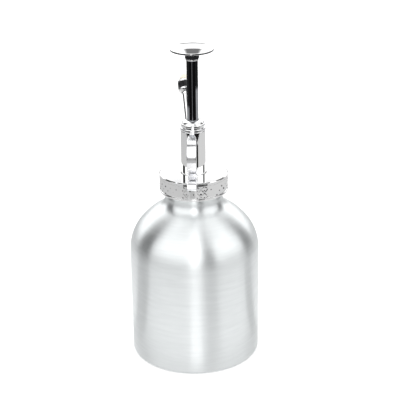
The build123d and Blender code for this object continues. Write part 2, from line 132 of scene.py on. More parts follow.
def new_group(name: str, inputs: Sequence[tuple], outputs: Sequence[tuple]) -> tuple[Wiring, object, object]:
    """Starts a shader node group with named sockets.

    Args:
        name: the group's name.
        inputs: (name, socket type, default value) of each input.
        outputs: (name, socket type) of each output.

    Returns:
        The wiring, the sockets that bring values in and the sockets that take them out.
    """
    tree = bpy.data.node_groups.new(name, "ShaderNodeTree")
    for title, kind, default in inputs:
        tree.interface.new_socket(title, in_out="INPUT", socket_type=kind).default_value = default
    for title, kind in outputs:
        tree.interface.new_socket(title, in_out="OUTPUT", socket_type=kind)
    wiring = Wiring(tree)
    return wiring, wiring.add("NodeGroupInput").outputs, wiring.add("NodeGroupOutput").inputs


def new_material(name: str) -> tuple[Material, object]:
    """Makes a material.

    Args:
        name: its name.

    Returns:
        The material and the inputs of its shader.
    """
    material = bpy.data.materials.new(name)
    material.use_nodes = True
    return material, material.node_tree.nodes["Principled BSDF"].inputs


def new_object(name: str, data: object) -> object:
    """Adds an object to the scene.

    Args:
        name: its name.
        data: its mesh or camera.

    Returns:
        The object.
    """
    thing = bpy.data.objects.new(name, data)
    bpy.context.scene.collection.objects.link(thing)
    return thing


class Effects:
    """Shader groups that several finishes share, built once."""

    def __init__(self) -> None:
        """Builds the groups."""
        self.lathe_rings = self._lathe_rings()
        self.handling = self._handling()
        self.fine_skin = self._fine_skin()

    def _lathe_rings(self) -> Tree:
        """Fine rings around the Z axis, broken up along their length.

        Returns:
            The group, with the outputs Rings and Bands.
        """
        inputs = [("Vector", VECTOR, (0, 0, 0)), ("Rings per metre", FLOAT, 3000.0), ("Arc", FLOAT, 70.0)]
        wiring, given, result = new_group("LatheRings", inputs, [("Rings", FLOAT), ("Bands", FLOAT)])
        x, y, z = wiring.add("ShaderNodeSeparateXYZ", {0: given["Vector"]}).outputs
        radius = wiring.math("SQRT", wiring.math("ADD", wiring.times(x, x), wiring.times(y, y)))
        along = wiring.math("SUBTRACT", z, radius)
        around = given["Arc"]
        for title, share in (("Rings", 1.0), ("Bands", 0.2)):
            fine = wiring.times(along, wiring.times(given["Rings per metre"], share))
            where = wiring.vector(wiring.times(x, around), wiring.times(y, around), fine)
            wiring.link(wiring.noise(where, 1.0, 4.0), result[title])
        return wiring.tree

    def _handling(self) -> Tree:
        """Faint smudges and wiping marks.

        Returns:
            The group, with the output Marks.
        """
        inputs = [("Vector", VECTOR, (0, 0, 0)), ("Scale", FLOAT, 60.0)]
        wiring, given, result = new_group("Handling", inputs, [("Marks", FLOAT)])
        cloud = wiring.noise(given["Vector"], given["Scale"], 5.0, 0.6)
        ramp = wiring.add("ShaderNodeMapRange", {"Value": cloud, "From Min": 0.45, "From Max": 0.75})
        wiring.link(ramp, result["Marks"])
        return wiring.tree

    def _fine_skin(self) -> Tree:
        """The fine skin of moulded plastic and rubber.

        Returns:
            The group, with the outputs Height and Tone.
        """
        inputs = [("Vector", VECTOR, (0, 0, 0)), ("Scale", FLOAT, 2500.0)]
        wiring, given, result = new_group("FineSkin", inputs, [("Height", FLOAT), ("Tone", FLOAT)])
        where, scale = given["Vector"], given["Scale"]
        wiring.link(wiring.noise(where, scale, 3.0), result["Height"])
        wiring.link(wiring.noise(where, wiring.times(scale, 0.05), 2.0), result["Tone"])
        return wiring.tree


# --- finishes
@dataclass(frozen=True)
class Finish:
    """A surface finish that is turned into one material."""

    name: str
    slot: str
    colour: tuple[float, float, float]
    shade: tuple[float, float, float]  # the colour in its darker places
    roughness: tuple[float, float]
    metallic: float = 1.0

    def settings(self) -> dict:
        """Constant values for the shader's own sockets."""
        return {}

    def pattern(self, wiring: Wiring, effects: Effects, where: Socket) -> tuple:
        """Makes the finish's pattern.

        Args:
            wiring: the material's nodes.
            effects: the shared groups.
            where: the object coordinates.

        Returns:
            What drives colour, roughness and height, and the height's distance in metres.
        """
        marks = wiring.group(effects.handling, {"Vector": where})["Marks"]
        return marks, marks, None, 0.0

    def make(self, effects: Effects) -> Material:
        """Builds the material.

        Args:
            effects: the shared groups.

        Returns:
            The material.
        """
        material, sockets = new_material(self.name)
        material.diffuse_color = (*self.colour, 1.0)
        wiring = Wiring(material.node_tree)
        where = wiring.add("ShaderNodeTexCoord").outputs["Object"]
        tone, rough, height, depth = self.pattern(wiring, effects, where)
        ends = {0: tone, 6: (*self.colour, 1.0), 7: (*self.shade, 1.0)}
        colour = wiring.add("ShaderNodeMix", ends, data_type="RGBA")
        wiring.link(colour.outputs[2], sockets["Base Color"])
        wiring.link(wiring.spread(rough, *self.roughness), sockets["Roughness"])
        sockets["Metallic"].default_value = self.metallic
        for key, value in self.settings().items():
            sockets[key].default_value = value
        if height is not None:
            bump = wiring.add("ShaderNodeBump", {"Height": height, "Distance": depth, "Strength": 1.0})
            wiring.link(bump, sockets["Normal"])
        self.extra(wiring, sockets)
        return material

    def extra(self, wiring: Wiring, sockets: object) -> None:
        """Adds what only one finish needs."""


@dataclass(frozen=True)
class SpunMetal(Finish):
    """Metal with fine rings around its axis that stretch a highlight along the axis."""

    rings: float = 3000.0
    depth: float = 4e-6
    stretch: float = 0.85

    def settings(self) -> dict:
        """The stretch of the highlight."""
        return {"Anisotropic": self.stretch, "Anisotropic Rotation": 0.25}

    def pattern(self, wiring: Wiring, effects: Effects, where: Socket) -> tuple:
        """Rings for colour, roughness and height."""
        rings = wiring.group(effects.lathe_rings, {"Vector": where, "Rings per metre": self.rings})
        return rings["Bands"], rings["Rings"], rings["Rings"], self.depth

    def extra(self, wiring: Wiring, sockets: object) -> None:
        """Turns the highlight's stretch around the axis."""
        tangent = wiring.add("ShaderNodeTangent", direction_type="RADIAL", axis="Z")
        wiring.link(tangent, sockets["Tangent"])


@dataclass(frozen=True)
class TurnedMetal(SpunMetal):
    """Turned metal without the stretched highlight."""

    def extra(self, wiring: Wiring, sockets: object) -> None:
        """Nothing more."""


@dataclass(frozen=True)
class Moulded(Finish):
    """Moulded plastic or rubber with a fine skin."""

    grain: float = 2500.0
    depth: float = 1e-5
    specular: float = 0.5

    def settings(self) -> dict:
        """The plastic's reflection."""
        return {"Specular IOR Level": self.specular}

    def pattern(self, wiring: Wiring, effects: Effects, where: Socket) -> tuple:
        """A fine skin over a slow tone."""
        skin = wiring.group(effects.fine_skin, {"Vector": where, "Scale": self.grain})
        return skin["Tone"], skin["Tone"], skin["Height"], self.depth


class Surface(Enum):
    """Every finish on the mister."""

    SPUN = SpunMetal(
        "spun_aluminium", "spun_aluminium", (0.95, 0.98, 0.985), (0.82, 0.85, 0.855), (0.3, 0.42)
    )
    PLATE = Finish("mirror_plate", "chrome_plate", (0.93, 0.93, 0.93), (0.86, 0.87, 0.88), (0.03, 0.07))
    STRIP = Finish("satin_plate", "chrome_plate", (0.92, 0.92, 0.93), (0.84, 0.85, 0.87), (0.13, 0.2))
    ROD = Finish("rod_plate", "dark_chrome", (0.4, 0.41, 0.43), (0.32, 0.33, 0.35), (0.03, 0.08))
    BLACK = Moulded(
        "black_plastic", "black_plastic", (0.008, 0.008, 0.01), (0.02, 0.02, 0.02), (0.06, 0.14), 0.0,
        specular=0.2,
    )
    BRASS = TurnedMetal("pale_brass", "pale_brass", (0.93, 0.88, 0.76), (0.82, 0.75, 0.6), (0.2, 0.34))
    RUBBER = Moulded(
        "seal_rubber", "black_rubber", (0.02, 0.02, 0.02), (0.05, 0.05, 0.05), (0.55, 0.75), 0.0
    )
    WHITE = Moulded(
        "white_plastic", "white_plastic", (0.56, 0.56, 0.54), (0.48, 0.48, 0.46), (0.35, 0.5), 0.0
    )
    TUBE = Moulded(
        "tube_plastic", "clear_plastic", (0.38, 0.43, 0.44), (0.31, 0.36, 0.37), (0.18, 0.3), 0.0
    )
    STEEL = TurnedMetal("drawn_steel", "stainless", (0.62, 0.62, 0.62), (0.5, 0.5, 0.5), (0.18, 0.32))


CAD_FINISHES = {
    Surface.RUBBER: ("neck_gasket", "rod_packing", "piston_seal", "nozzle_o_ring"),
    Surface.WHITE: (
        "collar_liner", "rod_bush", "foot_valve_body", "inlet_ball_cage", "slip_washer", "strainer",
    ),
    Surface.TUBE: ("dip_tube",),
    Surface.STEEL: ("pump_cylinder", "inlet_ball", "outlet_ball", "piston_screw"),
    Surface.BRASS: ("piston", "swirl_core"),
}


# --- mesh making
MOST_ROUNDED = 0.45  # share of an outline's run that a rounding may take
LEAST_ROUNDING = 0.01  # mm, below which a corner stays sharp
GUARD = 1.15  # where the point beside a rounding stands, as a share of its reach
MERGE = 1e-6  # metres, below which two points are one


def soften(outline: Outline, steps: int = 5) -> list[tuple[float, float]]:
    """Rounds the corners of a closed outline.

    Args:
        outline: (radius, height) or (radius, height, rounding) in mm.
        steps: points along each rounding.

    Returns:
        The rounded outline as (radius, height) in mm.
    """
    rounded: list[tuple[float, float]] = []
    for index, corner in enumerate(outline):
        here = Vector(corner[:2])
        wanted = corner[2] if len(corner) > 2 else 0.0
        before = Vector(outline[index - 1][:2]) - here
        after = Vector(outline[(index + 1) % len(outline)][:2]) - here
        reach = min(wanted, before.length * MOST_ROUNDED, after.length * MOST_ROUNDED)
        if reach < LEAST_ROUNDING:
            rounded.append((here.x, here.y))
            continue
        start = here + before.normalized() * reach
        end = here + after.normalized() * reach
        rounded.append(tuple(here + before.normalized() * reach * GUARD))
        for step in range(steps + 1):
            t = step / steps
            rounded.append(tuple(start * (1 - t) ** 2 + here * 2 * t * (1 - t) + end * t**2))
        rounded.append(tuple(here + after.normalized() * reach * GUARD))
    return rounded


def arc(centre: tuple[float, float], radius: float, start: float, end: float, steps: int) -> list[tuple]:
    """Points along an arc, in mm, from its centre, its radius, two angles in degrees and a number of runs."""
    turns = [math.radians(start + (end - start) * i / steps) for i in range(steps + 1)]
    return [(centre[0] + radius * math.cos(t), centre[1] + radius * math.sin(t)) for t in turns]


class Builder:
    """Turns outlines and strips into pieces, with the finish and the body that each one takes."""

    def __init__(self) -> None:
        """Makes the materials and dresses the inner CAD pieces."""
        self.effects = Effects()
        self.materials = {surface: surface.value.make(self.effects) for surface in Surface}
        for surface, nodes in CAD_FINISHES.items():
            for node in nodes:
                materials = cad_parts[node].data.materials
                materials.clear()
                materials.append(self.materials[surface])

    def turned(
        self,
        outline: Outline,
        segments: int = 128,
        place: Matrix | None = None,
        reshape: Callable[[float, float, float], float] | None = None,
    ) -> Mesh:
        """Turns a closed outline about Z.

        Args:
            outline: points in mm, which softening has rounded where wanted.
            segments: faces around.
            place: where the piece's own frame stands, in mm.
            reshape: gives a new radius from radius, height and angle.

        Returns:
            The mesh in metres.
        """
        points = [(max(r, 0.0), z) for r, z in soften(outline)]
        mesh = bmesh.new()
        rows: list[list[bmesh.types.BMVert]] = []
        for r, z in points:
            if r < MERGE:
                rows.append([mesh.verts.new((0, 0, z * MM))] * segments)
                continue
            row = []
            for step in range(segments):
                angle = 2 * math.pi * step / segments
                out = reshape(r, z, angle) if reshape else r
                row.append(mesh.verts.new((out * math.cos(angle) * MM, out * math.sin(angle) * MM, z * MM)))
            rows.append(row)
        for low, high in zip(rows, rows[1:] + rows[:1]):
            for step in range(segments):
                after = (step + 1) % segments
                corners = list(dict.fromkeys((low[step], low[after], high[after], high[step])))
                if len(corners) > 2:
                    mesh.faces.new(corners)
        bmesh.ops.recalc_face_normals(mesh, faces=mesh.faces)
        if place is not None:
            scaled = place.copy()
            scaled.translation *= MM
            bmesh.ops.transform(mesh, matrix=scaled, verts=mesh.verts)
        return mesh

    def swept(
        self,
        path: Sequence[tuple[float, float]],
        section: Sequence[tuple[float, float]],
        share: Callable[[float, float], float],
    ) -> Mesh:
        """Sweeps a section along a path that lies in the YZ plane.

        Args:
            path: (distance along -Y, height) in mm.
            section: closed (across X, outwards) in mm.
            share: gives the share of the section's width at a point of the path.

        Returns:
            The mesh in metres.
        """
        mesh = bmesh.new()
        rows = []
        for index, (away, z) in enumerate(path):
            before = path[max(index - 1, 0)]
            after = path[min(index + 1, len(path) - 1)]
            along = Vector((after[0] - before[0], after[1] - before[1])).normalized()
            out = Vector((-along.y, along.x))
            wide = share(away, z)
            rows.append(
                [
                    mesh.verts.new((u * wide * MM, -(away + out.x * v) * MM, (z + out.y * v) * MM))
                    for u, v in section
                ]
            )
        for low, high in zip(rows, rows[1:]):
            for step in range(len(section)):
                after = (step + 1) % len(section)
                mesh.faces.new((low[step], low[after], high[after], high[step]))
        mesh.faces.new(rows[0])
        mesh.faces.new(rows[-1])
        bmesh.ops.recalc_face_normals(mesh, faces=mesh.faces)
        return mesh

    def piece(
        self, name: str, meshes: Sequence[Mesh], surface: Surface, crease: float = 32.0
    ) -> object:
        """Joins meshes into one smooth-shaded object.

        Args:
            name: the piece's name.
            meshes: closed meshes in metres.
            surface: its finish.
            crease: the angle in degrees above which an edge stays sharp.

        Returns:
            The object.
        """
        joined = bmesh.new()
        for mesh in meshes:
            part = bpy.data.meshes.new("part")
            mesh.to_mesh(part)
            mesh.free()
            joined.from_mesh(part)
            bpy.data.meshes.remove(part)
        data = bpy.data.meshes.new(name)
        joined.to_mesh(data)
        joined.free()
        data.shade_smooth()
        data.set_sharp_from_angle(angle=math.radians(crease))
        data.materials.append(self.materials[surface])
        return new_object(name, data)

    def fit(self, piece: object, body: Body, surface: Surface, *nodes: str) -> None:
        """Puts a finished piece on its body in place of CAD nodes.

        Args:
            piece: the object.
            body: what it rides on.
            surface: its finish; not used.
            nodes: the CAD nodes that it stands for.
        """
        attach(piece, body.value)
        if nodes:
            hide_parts(*nodes)
        LOG.info("%s rides on %s, %d faces", piece.name, body.value, len(piece.data.polygons))

    def lathe(
        self, name: str, body: Body, surface: Surface, outline: Outline, *nodes: str, crease: float = 32.0,
        **turning: object,
    ) -> None:
        """Turns one outline into a finished piece. What follows the crease goes to turned()."""
        piece = self.piece(name, [self.turned(outline, **turning)], surface, crease)
        self.fit(piece, body, surface, *nodes)

    def grown(
        self, name: str, body: Body, surface: Surface, tree: "GrowingTree", values: dict[str, object]
    ) -> None:
        """Runs a Geometry Nodes tree and keeps its result as a finished piece with a plain mesh.

        Args:
            name: the piece's name.
            body: what it rides on.
            surface: its finish.
            tree: the tree.
            values: input name to value.
        """
        data = bpy.data.meshes.new(name)
        piece = new_object(name, data)
        modifier = piece.modifiers.new("grow", "NODES")
        modifier.node_group = tree.tree
        for title, value in {**values, "Material": self.materials[surface]}.items():
            modifier[tree.sockets[title]] = value
        graph = bpy.context.evaluated_depsgraph_get()
        graph.update()
        result = bpy.data.meshes.new_from_object(piece.evaluated_get(graph))
        piece.modifiers.clear()
        piece.data = result
        result.name = name
        bpy.data.meshes.remove(data)
        result.shade_smooth()
        self.fit(piece, body, surface)


# --- Geometry Nodes
class GrowingTree:
    """A Geometry Nodes tree with named inputs."""

    def __init__(self, name: str, numbers: Sequence[str], counts: Sequence[str] = ()) -> None:
        """Starts the tree.

        Args:
            name: its name.
            numbers: the names of the inputs that are lengths or other numbers.
            counts: the names of the inputs that are whole numbers.
        """
        self.tree = bpy.data.node_groups.new(name, "GeometryNodeTree")
        kinds = {**dict.fromkeys(numbers, FLOAT), **dict.fromkeys(counts, "NodeSocketInt")}
        self.sockets: dict[str, str] = {}
        for title, kind in {**kinds, "Material": "NodeSocketMaterial"}.items():
            socket = self.tree.interface.new_socket(title, in_out="INPUT", socket_type=kind)
            self.sockets[title] = socket.identifier
        self.tree.interface.new_socket("Geometry", in_out="OUTPUT", socket_type="NodeSocketGeometry")
        self.wiring = Wiring(self.tree)
        self.given = self.wiring.add("NodeGroupInput").outputs

    def close(self, geometry: Node) -> None:
        """Ends the tree in Realize Instances and Set Material.

        Args:
            geometry: the node that makes its shape.
        """
        real = self.wiring.add("GeometryNodeRealizeInstances", {0: geometry})
        sockets = {"Geometry": real, "Material": self.given["Material"]}
        self.wiring.add("NodeGroupOutput", {0: self.wiring.add("GeometryNodeSetMaterial", sockets)})


class ThreadTree(GrowingTree):
    """A helical ridge around Z."""

    def __init__(self) -> None:
        """Builds the tree."""
        super().__init__("ThreadRidge", ("Radius", "Pitch", "Turns", "Low", "Thickness"))
        wiring, given = self.wiring, self.given
        sockets = {
            "Resolution": 96,
            "Rotations": given["Turns"],
            "Start Radius": given["Radius"],
            "End Radius": given["Radius"],
            "Height": wiring.times(given["Pitch"], given["Turns"]),
        }
        path = wiring.add("GeometryNodeCurveSpiral", sockets)
        sockets = {"Resolution": 10, "Radius": given["Thickness"]}
        section = wiring.add("GeometryNodeCurvePrimitiveCircle", sockets)
        sockets = {"Curve": path, "Profile Curve": section, "Fill Caps": True}
        ridge = wiring.add("GeometryNodeCurveToMesh", sockets)
        sockets = {"Geometry": ridge, "Offset": wiring.vector(z=given["Low"])}
        self.close(wiring.add("GeometryNodeSetPosition", sockets))


class EmbossTree(GrowingTree):
    """A cylindrical band embossed with diamonds."""

    sharpness = 10.0  # power that narrows the grooves
    fading = 14.0  # power that ends the grooves near the band's edges

    def __init__(self) -> None:
        """Builds the tree."""
        super().__init__("DiamondBand", ("Radius", "Low", "High", "Row", "Groove"), ("Count",))
        wiring, given = self.wiring, self.given
        height = wiring.math("SUBTRACT", given["High"], given["Low"])
        sockets = {"Size X": 2 * math.pi, "Size Y": height, "Vertices X": 721, "Vertices Y": 61}
        sheet = wiring.add("GeometryNodeMeshGrid", sockets)
        place = wiring.add("ShaderNodeSeparateXYZ", {0: wiring.add("GeometryNodeInputPosition")})
        angle, level = place.outputs[0], place.outputs[1]
        around = wiring.times(wiring.math("DIVIDE", angle, 2 * math.pi), given["Count"])
        up = wiring.math("DIVIDE", level, given["Row"])
        lines = []
        for operation in ("ADD", "SUBTRACT"):
            wave = wiring.math("COSINE", wiring.times(wiring.math(operation, around, up), math.pi))
            lines.append(wiring.math("POWER", wiring.times(wave, wave), self.sharpness))
        groove = wiring.times(wiring.math("MAXIMUM", *lines), given["Groove"])
        edge = wiring.math("DIVIDE", wiring.math("ABSOLUTE", level), wiring.times(height, 0.5))
        fade = wiring.math("SUBTRACT", 1.0, wiring.math("POWER", edge, self.fading))
        radius = wiring.math("SUBTRACT", given["Radius"], wiring.times(groove, fade))
        middle = wiring.times(wiring.math("ADD", given["High"], given["Low"]), 0.5)
        across, ahead = (wiring.times(radius, wiring.math(turn, angle)) for turn in ("COSINE", "SINE"))
        spot = wiring.vector(across, ahead, wiring.math("ADD", level, middle))
        bent = wiring.add("GeometryNodeSetPosition", {"Geometry": sheet, "Position": spot})
        self.close(wiring.add("GeometryNodeMergeByDistance", {"Geometry": bent, "Distance": MERGE}))


class DotTree(GrowingTree):
    """Rows of small raised dots around Z, uneven in size and some of them missing."""

    def __init__(self) -> None:
        """Builds the tree."""
        super().__init__("DotRows", ("Radius", "Low", "Row", "Dot"), ("Count", "Seed"))
        wiring, given = self.wiring, self.given
        joined = wiring.add("GeometryNodeJoinGeometry")
        for row in range(3):
            sockets = {"Vertices": given["Count"], "Radius": given["Radius"]}
            circle = wiring.add("GeometryNodeMeshCircle", sockets)
            level = wiring.math("ADD", given["Low"], wiring.times(given["Row"], float(row)))
            half_step = wiring.times(wiring.math("DIVIDE", math.pi, given["Count"]), float(row % 2))
            lift, turn = wiring.vector(z=level), wiring.vector(z=half_step)
            sockets = {"Geometry": circle, "Translation": lift, "Rotation": turn}
            wiring.link(wiring.add("GeometryNodeTransform", sockets), joined.inputs[0])
        sockets = {"Probability": 0.75, "Seed": given["Seed"]}
        kept = wiring.add("FunctionNodeRandomValue", sockets, data_type="BOOLEAN")
        size = wiring.add("FunctionNodeRandomValue", {2: 0.5, 3: 1.25, "Seed": given["Seed"]})
        ball = wiring.add("GeometryNodeMeshIcoSphere", {"Radius": given["Dot"], "Subdivisions": 2})
        sockets = {
            "Points": joined, "Selection": kept.outputs[3], "Instance": ball, "Scale": size.outputs[1]
        }
        self.close(wiring.add("GeometryNodeInstanceOnPoints", sockets))


# --- bottle
@dataclass
class Bottle:
    """The spun bottle, in mm."""

    radius: float = 37.5
    wall: float = 0.8
    cylinder_top: float = 63.8
    shoulder: float = 26.7  # radius of the shoulder's first arc
    turn: float = 40.0  # degrees that this arc covers
    crown: float = 43.0  # radius of the arc after it
    neck: float = 16.5
    neck_bore: float = 14.9
    fillet: float = 7.0
    inner_fillet: float = 7.8
    rim: float = 106.8
    thread_core: float = 15.8
    foot_inner: float = 29.5
    push_up: float = 3.0

    def _shoulder(self, wall: float, neck: float, fillet: float) -> list[tuple[float, float]]:
        """The shoulder's three arcs as points, from the cylinder up to the neck.

        Args:
            wall: distance inside the outer surface.
            neck: radius of the neck that the last arc meets.
            fillet: radius of that arc.

        Returns:
            The points.
        """
        turn = math.radians(self.turn)
        low = (self.radius - self.shoulder, self.cylinder_top)
        offset = self.shoulder - self.crown
        high = (low[0] + offset * math.cos(turn), low[1] + offset * math.sin(turn))
        crown = self.crown - wall
        out = neck + fillet - high[0]
        rise = math.sqrt((crown + fillet) ** 2 - out**2)
        meet = math.degrees(math.atan2(rise, out))
        points = arc(low, self.shoulder - wall, 0, self.turn, 20)
        points += arc(high, crown, self.turn, meet, 28)[1:]
        points += arc((high[0] + out, high[1] + rise), fillet, 180 + meet, 180, 10)[1:]
        return points

    def outline(self) -> list[tuple]:
        """The closed outline of the shell.

        Returns:
            Its points in mm, some of them with a rounding.
        """
        dome = [(self.foot_inner * i / 8, self.push_up * (1 - (i / 8) ** 2)) for i in range(9)]
        foot = arc((self.radius - 1.5, 1.5), 1.5, -90, 0, 8)
        outside = self._shoulder(0, self.neck, self.fillet)
        inside = self._shoulder(self.wall, self.neck_bore, self.inner_fillet)
        wall = [(self.radius, 1.8), (self.radius, 12), (self.radius, 36), (self.radius, 60)]
        mouth = [
            (self.neck, 99.4), (self.thread_core, 100.1), (self.thread_core, self.rim, 0.4),
            (self.neck_bore, self.rim, 0.3),
        ]
        inner_radius = self.radius - self.wall
        floor = [(inner_radius, 3.0), (inner_radius - 0.65, 1.45), (inner_radius - 2.2, self.wall)]
        inner_dome = [(r, z + self.wall) for r, z in reversed(dome)]
        return [*dome, *foot, *wall, *outside, *mouth, *reversed(inside), *floor, *inner_dome]

    def build(self, builder: Builder) -> None:
        """Makes the bottle and its thread.

        Args:
            builder: the workshop.
        """
        builder.lathe(
            "bottle_skin", Body.VESSEL, Surface.SPUN, self.outline(), "bottle_shell", crease=50, segments=160
        )
        values = {"Radius": 0.01575, "Pitch": 0.003, "Turns": 1.3, "Low": 0.1012, "Thickness": 0.0007}
        builder.grown("bottle_thread", Body.VESSEL, Surface.SPUN, ThreadTree(), values)


# --- collar
@dataclass
class Collar:
    """The plated screw collar, in mm."""

    radius: float = 19.5
    low: float = 100.0
    high: float = 111.0
    hole: float = 7.3
    band_low: float = 102.1
    band_high: float = 109.0
    count: int = 30

    def build(self, builder: Builder) -> None:
        """Makes the shell, its embossed band and small raised dots on it, whose black colour is painted shade
        for the dark spots on the collar.

        Args:
            builder: the workshop.
        """
        low, high, r = self.low, self.high, self.radius
        outline = [
            (self.hole, high - 1.0), (18.6, high - 1.0, 0.2), (18.6, low, 0.1),
            (19.2, low, 0.2), (r, low + 0.4, 0.25), (r, low + 1.2, 0.25),
            (19.05, low + 1.5, 0.15), (19.05, low + 1.8, 0.15), (r - 0.35, self.band_low, 0.1),
            (r - 0.35, self.band_high, 0.1), (r, self.band_high, 0.1), (r, high - 0.6, 0.15),
            (r - 0.6, high, 0.15), (self.hole + 0.35, high, 0.3),
            (self.hole, high - 0.35, 0.2),
        ]
        builder.lathe("collar_skin", Body.COLLAR, Surface.PLATE, outline, "collar_shell", segments=160)
        values = {
            "Radius": r * MM,
            "Low": self.band_low * MM,
            "High": self.band_high * MM,
            "Row": 4.4 * MM,
            "Groove": 0.015 * MM,
            "Count": self.count,
        }
        builder.grown("collar_band", Body.COLLAR, Surface.PLATE, EmbossTree(), values)
        # the dots are black plastic: their colour is painted shade standing in for the dark spots that the
        # collar's small dots show
        values = {
            "Radius": (r - 0.25) * MM,
            "Low": 102.35 * MM,
            "Row": 2.1 * MM,
            "Dot": 0.5 * MM,
            "Count": self.count,
            "Seed": 4,
        }
        builder.grown("collar_dots_painted_shade", Body.COLLAR, Surface.BLACK, DotTree(), values)


# --- pump head
@dataclass
class Spout:
    """The inclined spout and its nozzle, in mm along its centreline."""

    climb: float = 50.0  # degrees above level
    swing: float = 8.0  # degrees to the left
    origin: float = 113.7
    start: float = 44.7  # of the nozzle
    across_flats: float = 7.6  # of the union nut
    flutes: int = 16
    flute_depth: float = 0.3
    flute_ease: float = 0.5  # length of a flute's run-out
    flute_span: tuple[float, float] = (3.9, 8.1)
    fluted_from: float = 4.0  # smaller radii stay plain

    def frame(self) -> Matrix:
        """The spout's own frame, with Z along its centreline.

        Returns:
            Its place in mm.
        """
        climb, swing = math.radians(self.climb), math.radians(self.swing)
        flat = math.cos(climb)
        way = Vector((-flat * math.sin(swing), flat * math.cos(swing), math.sin(climb)))
        turn = way.to_track_quat("Z", "Y").to_matrix().to_4x4()
        return Matrix.Translation((0, 0, self.origin)) @ turn

    def _fluted(self, radius: float, height: float, angle: float) -> float:
        """Cuts round flutes in the cap's grip.

        Args:
            radius: the plain radius.
            height: the height along the cap.
            angle: the angle around it.

        Returns:
            The radius with its flutes.
        """
        low, high = self.flute_span
        if radius < self.fluted_from or not low < height < high:
            return radius
        ease = min(1.0, (height - low) / self.flute_ease, (high - height) / self.flute_ease)
        return radius - self.flute_depth * ease * (0.5 + 0.5 * math.cos(self.flutes * angle)) ** 2

    def build(self, builder: Builder) -> None:
        """Makes the union nut, the tube and the nozzle.

        Args:
            builder: the workshop.
        """
        own = self.frame()
        nozzle = own @ Matrix.Translation((0, 0, self.start))
        corner = self.across_flats / 2 / math.cos(math.radians(30))
        nut = [
            (2.75, 17.1), (3.7, 17.1), (corner, 17.5), (corner, 22.4), (3.6, 23.0),
            (1.95, 23.3, 0.1), (1.95, 21.35), (2.75, 21.35),
        ]
        hexagon = builder.piece("spout_union", [builder.turned(nut, 6, own)], Surface.PLATE, crease=20)
        bevel = hexagon.modifiers.new("edges", "BEVEL")
        bevel.width, bevel.segments, bevel.limit_method = 0.0002, 3, "ANGLE"
        builder.fit(hexagon, Body.PUMP, Surface.PLATE, "spout_nut")
        tube = [
            (1.2, 20.45), (2.65, 20.45), (2.65, 21.25), (1.9, 21.25), (1.9, 30.0), (1.9, 40.0),
            (1.9, 48.15, 0.1), (1.2, 48.15),
        ]
        builder.lathe("spout_pipe", Body.PUMP, Surface.PLATE, tube, "spout_tube", segments=64, place=own)
        sleeve = [
            (1.93, 0.0), (2.3, 0.0, 0.2), (2.55, 0.9, 0.5), (3.55, 2.1, 0.6), (4.0, 2.7, 0.3),
            (4.0, 3.5, 0.15), (2.6, 3.5), (2.6, 4.7), (2.2, 4.7), (2.2, 5.7), (2.6, 5.7),
            (2.6, 7.1), (1.0, 7.1), (1.0, 3.5), (1.93, 3.5),
        ]
        builder.lathe(
            "nozzle_sleeve", Body.PUMP, Surface.PLATE, sleeve, "nozzle_body", segments=96, place=nozzle
        )
        grip = [
            (2.7, 3.6), (4.05, 3.6, 0.4), (4.05, 4.4), (4.05, 5.8), (4.05, 7.2, 0.1),
            (3.9, 7.3), (1.6, 7.3), (1.6, 7.25), (2.7, 7.25),
        ]
        builder.lathe(
            "nozzle_grip", Body.NOZZLE, Surface.BLACK, grip, "nozzle_cap", segments=192, place=nozzle,
            reshape=self._fluted,
        )
        bezel = [
            (1.6, 7.32), (3.95, 7.32, 0.1), (4.0, 7.9, 0.25), (3.55, 8.7, 0.3), (1.6, 8.7),
        ]
        builder.lathe("grip_bezel", Body.NOZZLE, Surface.PLATE, bezel, place=nozzle)
        cone = [
            (0.8, 7.45), (1.57, 7.45), (1.57, 8.72), (3.1, 8.72, 0.1), (3.1, 9.3, 0.25),
            (1.7, 12.0, 0.4), (1.2, 12.5, 0.3), (0.55, 12.5, 0.1), (0.25, 12.1), (0.25, 11.1),
            (0.8, 10.5),
        ]
        builder.lathe(
            "nozzle_cone", Body.NOZZLE, Surface.BRASS, cone, "nozzle_tip", segments=96, place=nozzle
        )


